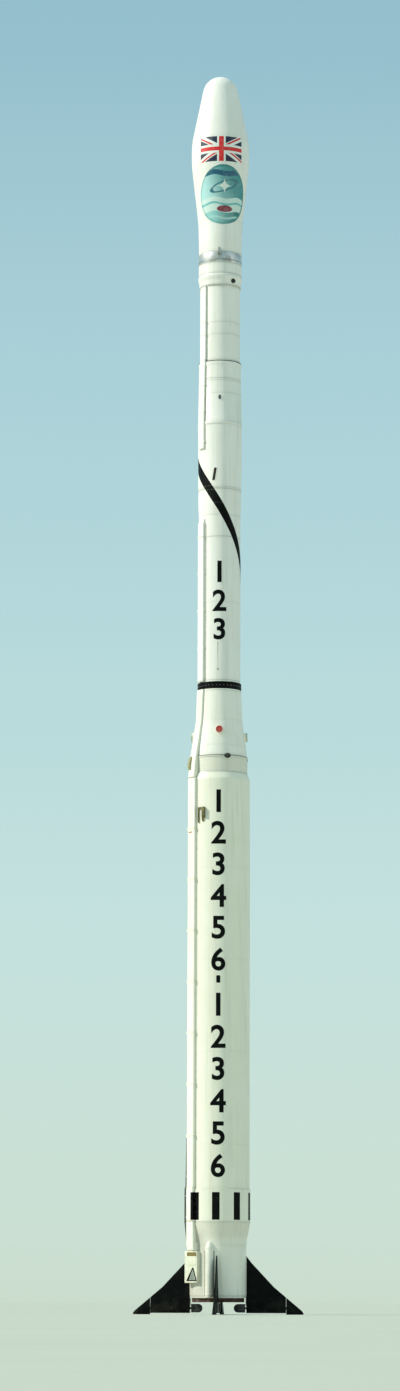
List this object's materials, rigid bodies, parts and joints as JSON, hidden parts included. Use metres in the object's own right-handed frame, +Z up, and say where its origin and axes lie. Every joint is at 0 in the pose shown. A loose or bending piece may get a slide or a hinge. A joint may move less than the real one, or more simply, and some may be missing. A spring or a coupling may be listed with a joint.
{
  "type": "four-stage solid-fuel launch rocket",
  "caption": "Slender four-stage solid-fuel launch rocket with steerable fin tips and jet vanes, side cable ducts and a bulbous heat shield that opens in halves.",
  "frame": {"origin": "centre of the base ring's underside, on the rocket's axis", "axes": "+Z up along the rocket's axis towards the nose; -Y is the front, the side with the flag"},
  "size_m": [3.056, 3.056, 23.0227],
  "materials": {
    "white_paint": "satin",
    "black_paint": "satin",
    "graphite": "matte",
    "insulation": "matte",
    "steel": "satin",
    "alloy": "satin",
    "primer": "satin",
    "red_cover": "matte"
  },
  "bodies": {
    "airframe": {"base_section": "white_paint", "first_stage_case": "white_paint", "first_stage_skirt": "white_paint", "first_stage_tunnel": "white_paint", "tunnel_aft_fairing": "white_paint", "umbilical_box": "white_paint", "actuator_cover_front": "white_paint", "actuator_cover_back": "white_paint", "forward_skirt": "white_paint", "transition_cone": "white_paint", "tunnel_top_fairing": "white_paint", "second_stage_case": "white_paint", "second_stage_tunnel": "white_paint", "upper_transition": "white_paint", "third_stage_ring": "white_paint", "third_stage_case": "white_paint", "third_stage_tunnel": "white_paint", "upper_collar": "white_paint", "fourth_stage_motor": "white_paint", "separation_band": "black_paint", "fin_front": "black_paint", "fin_right": "black_paint", "fin_back": "black_paint", "fin_left": "black_paint", "first_stage_nozzle": "graphite", "base_heat_ring": "insulation", "aft_conduit": "steel", "shield_base_ring": "alloy", "spin_table": "alloy", "payload_adapter": "alloy", "thruster_cover_front": "red_cover", "thruster_cover_back": "red_cover", "handling_bracket": "primer", "umbilical_socket": "primer", "thruster_cover_right": "primer", "thruster_cover_left": "primer"},
    "control_front": {"fin_tip_front": "black_paint", "jet_vane_front": "graphite"},
    "control_right": {"fin_tip_right": "black_paint", "jet_vane_right": "graphite"},
    "control_back": {"fin_tip_back": "black_paint", "jet_vane_back": "graphite"},
    "control_left": {"fin_tip_left": "black_paint", "jet_vane_left": "graphite"},
    "shield_half_front": {"heat_shield_front": "white_paint"},
    "shield_half_back": {"heat_shield_back": "white_paint"}
  },
  "joints": [
    {"name": "steer_front", "type": "hinge", "parent": "airframe", "child": "control_front", "pos_m": [0, -0.85, -0.18], "axis": [0, -1, 0], "range_deg": [-18, 18]},
    {"name": "steer_right", "type": "hinge", "parent": "airframe", "child": "control_right", "pos_m": [0.85, 0, -0.18], "axis": [1, 0, 0], "range_deg": [-18, 18]},
    {"name": "steer_back", "type": "hinge", "parent": "airframe", "child": "control_back", "pos_m": [0, 0.85, -0.18], "axis": [0, 1, 0], "range_deg": [-18, 18]},
    {"name": "steer_left", "type": "hinge", "parent": "airframe", "child": "control_left", "pos_m": [-0.85, 0, -0.18], "axis": [-1, 0, 0], "range_deg": [-18, 18]},
    {"name": "open_shield_front", "type": "hinge", "parent": "airframe", "child": "shield_half_front", "pos_m": [0, -0.436, 19.206], "axis": [1, 0, 0], "range_deg": [0, 70]},
    {"name": "open_shield_back", "type": "hinge", "parent": "airframe", "child": "shield_half_back", "pos_m": [0, 0.436, 19.206], "axis": [-1, 0, 0], "range_deg": [0, 70]}
  ]
}
